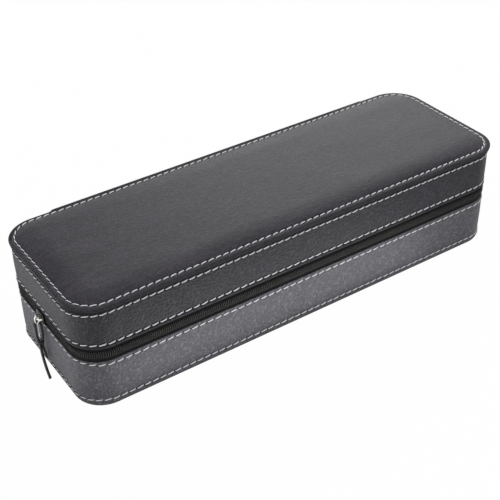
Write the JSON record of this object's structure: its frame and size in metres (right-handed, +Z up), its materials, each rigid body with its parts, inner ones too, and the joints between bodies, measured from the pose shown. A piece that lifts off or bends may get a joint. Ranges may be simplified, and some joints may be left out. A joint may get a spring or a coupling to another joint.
{
  "type": "watch travel case",
  "caption": "Zipped leather-covered travel case whose hinged lid opens flat over a row of lined bays with watch pillows.",
  "frame": {"origin": "centre of the flat underside that the case rests on", "axes": "+X along the case, +Y to its hinged back, +Z up"},
  "size_m": [0.3359, 0.1112, 0.0762],
  "materials": {
    "cover_leather": "charcoal, fine pitted grain, satin",
    "wall_foam": "foam",
    "fibreboard": "raw fibreboard",
    "velvet_lining": "short velvet",
    "zip_tape": "woven tape",
    "zip_coil": "spiral coil",
    "nickel": "nickel plate",
    "lace_leather": "smooth, dark",
    "pillow_velvet": "short velvet",
    "pillow_foam": "foam"
  },
  "bodies": {
    "base": {"base_bottom_cover": "cover_leather", "base_bottom_board": "fibreboard", "base_floor_lining": "velvet_lining", "base_wall_cover": "cover_leather", "base_wall_foam": "wall_foam", "base_wall_board": "fibreboard", "base_collar": "velvet_lining", "zip_tape_lower": "zip_tape", "zip_coil_lower": "zip_coil", "zip_stops": "nickel", "hinge_panel_lower": "cover_leather", "hinge_webbing_lower": "zip_tape", "hinge_lining_lower": "velvet_lining", "divider_1": "velvet_lining", "divider_2": "velvet_lining", "divider_3": "velvet_lining", "divider_4": "velvet_lining", "divider_5": "velvet_lining"},
    "lid": {"lid_top_cover": "cover_leather", "lid_top_foam": "wall_foam", "lid_top_board": "fibreboard", "lid_wall_cover": "cover_leather", "lid_wall_foam": "wall_foam", "lid_wall_board": "fibreboard", "lid_wall_lining": "velvet_lining", "lid_pad": "velvet_lining", "zip_tape_upper": "zip_tape", "zip_coil_upper": "zip_coil", "hinge_panel_upper": "cover_leather", "hinge_webbing_upper": "zip_tape", "hinge_lining_upper": "velvet_lining"},
    "slider": {"zip_slider": "nickel"},
    "pull": {"zip_pull": "nickel"},
    "lace": {"pull_lace": "lace_leather"},
    "pillow_1": {"pillow_cover_1": "pillow_velvet", "pillow_core_1": "pillow_foam"},
    "pillow_2": {"pillow_cover_2": "pillow_velvet", "pillow_core_2": "pillow_foam"},
    "pillow_3": {"pillow_cover_3": "pillow_velvet", "pillow_core_3": "pillow_foam"},
    "pillow_4": {"pillow_cover_4": "pillow_velvet", "pillow_core_4": "pillow_foam"},
    "pillow_5": {"pillow_cover_5": "pillow_velvet", "pillow_core_5": "pillow_foam"},
    "pillow_6": {"pillow_cover_6": "pillow_velvet", "pillow_core_6": "pillow_foam"}
  },
  "joints": [
    {"name": "lid_hinge", "type": "hinge", "parent": "base", "child": "lid", "pos_m": [0, 0.0564, 0.0391], "axis": [-1, 0, 0], "range_deg": [0, 180]},
    {"name": "slider_run", "type": "slide", "parent": "base", "child": "slider", "axis": [0, 1, 0], "range_m": [-0.029, 0.025]},
    {"name": "pull_swing", "type": "hinge", "parent": "slider", "child": "pull", "pos_m": [-0.1674, 0.002, 0.0391], "axis": [0, 1, 0], "range_deg": [0, 150]},
    {"name": "lace_swing", "type": "hinge", "parent": "pull", "child": "lace", "pos_m": [-0.1674, 0.002, 0.0338], "axis": [1, 0, 0], "range_deg": [-15, 15]},
    {"name": "pillow_lift_1", "type": "slide", "parent": "base", "child": "pillow_1", "axis": [0, 0, 1], "range_m": [0, 0.018]},
    {"name": "pillow_lift_2", "type": "slide", "parent": "base", "child": "pillow_2", "axis": [0, 0, 1], "range_m": [0, 0.018]},
    {"name": "pillow_lift_3", "type": "slide", "parent": "base", "child": "pillow_3", "axis": [0, 0, 1], "range_m": [0, 0.018]},
    {"name": "pillow_lift_4", "type": "slide", "parent": "base", "child": "pillow_4", "axis": [0, 0, 1], "range_m": [0, 0.018]},
    {"name": "pillow_lift_5", "type": "slide", "parent": "base", "child": "pillow_5", "axis": [0, 0, 1], "range_m": [0, 0.018]},
    {"name": "pillow_lift_6", "type": "slide", "parent": "base", "child": "pillow_6", "axis": [0, 0, 1], "range_m": [0, 0.018]}
  ]
}
